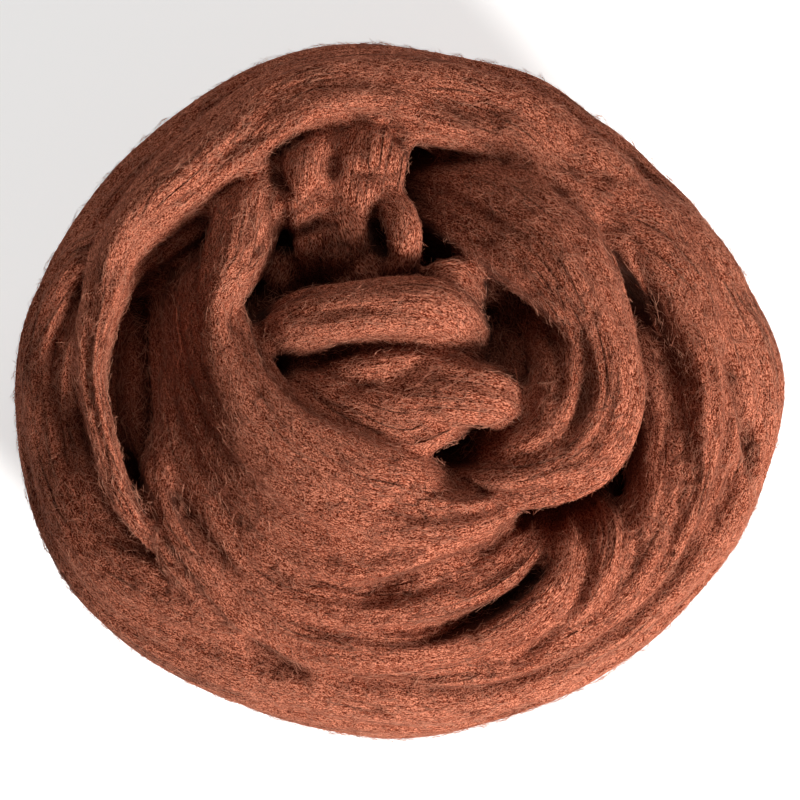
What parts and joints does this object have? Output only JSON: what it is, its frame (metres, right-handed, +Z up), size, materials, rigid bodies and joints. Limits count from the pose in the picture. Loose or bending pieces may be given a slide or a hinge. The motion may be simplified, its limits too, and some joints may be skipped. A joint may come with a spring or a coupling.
{
  "type": "wool roving ball",
  "caption": "Loose, squashed ball of combed wool roving, one thick soft strand wound round itself with crumpled folds in the hollow on top.",
  "frame": {"origin": "on the table under the middle of the ball", "axes": "+Z up, +X along the ball's longer way, to the right as the picture shows it from above, +Y to the top of the picture"},
  "size_m": [0.2073, 0.1871, 0.1027],
  "materials": {
    "wool": "matt combed wool, red-brown"
  },
  "bodies": {
    "root": {"roving_ball": "wool"}
  },
  "joints": []
}
